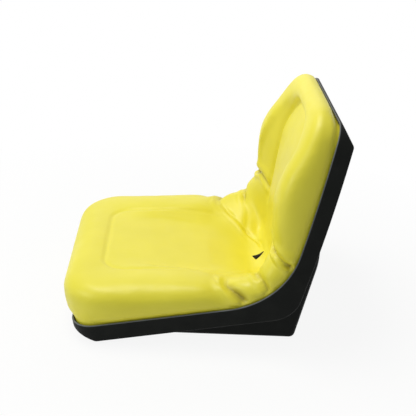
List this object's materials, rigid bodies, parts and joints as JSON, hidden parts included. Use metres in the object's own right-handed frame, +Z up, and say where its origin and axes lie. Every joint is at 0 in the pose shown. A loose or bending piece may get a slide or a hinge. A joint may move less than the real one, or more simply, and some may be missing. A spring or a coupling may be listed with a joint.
{
  "type": "bucket seat",
  "caption": "One-piece vinyl bucket seat cushion with raised bolsters in a black moulded plastic pan with a flat bolt-down foot, for a garden machine.",
  "frame": {"origin": "middle of the bolt pattern on the flat base of the foot", "axes": "+X to the sitter's left side, -Y to the front of the seat, +Z up out of the base"},
  "size_m": [0.476, 0.539, 0.4604],
  "materials": {
    "vinyl": "satin yellow vinyl with a fine grain",
    "plastic": "black moulded plastic with a light texture",
    "insert_metal": "zinc plated"
  },
  "bodies": {
    "root": {"cushion": "vinyl", "pan": "plastic", "mounting_inserts": "insert_metal"}
  },
  "joints": []
}
